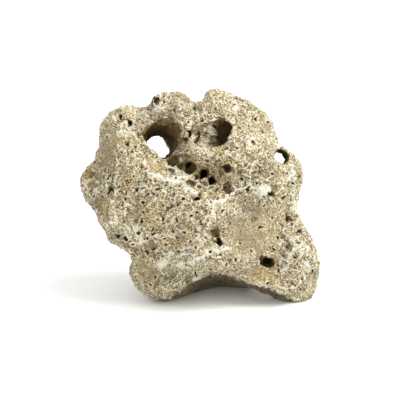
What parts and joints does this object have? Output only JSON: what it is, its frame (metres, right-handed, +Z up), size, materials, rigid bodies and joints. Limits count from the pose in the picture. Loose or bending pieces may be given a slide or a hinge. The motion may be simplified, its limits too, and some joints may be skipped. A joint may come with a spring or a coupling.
{
  "type": "holey limestone",
  "caption": "Natural aquascape stone of beige limestone, pierced by a large round hole, pitted with cells and finger holes, standing on worn feet.",
  "frame": {"origin": "on the ground, under the middle of the stone's bounding box", "axes": "+Z up, +X to the right seen from the front, the front with the big hole and the cells faces -Y"},
  "size_m": [0.2042, 0.1362, 0.1757],
  "materials": {
    "limestone": "rough matte limestone, pitted, with chalky white crust on the ledges and dark brown pits"
  },
  "bodies": {
    "root": {"limestone": "limestone"}
  },
  "joints": []
}
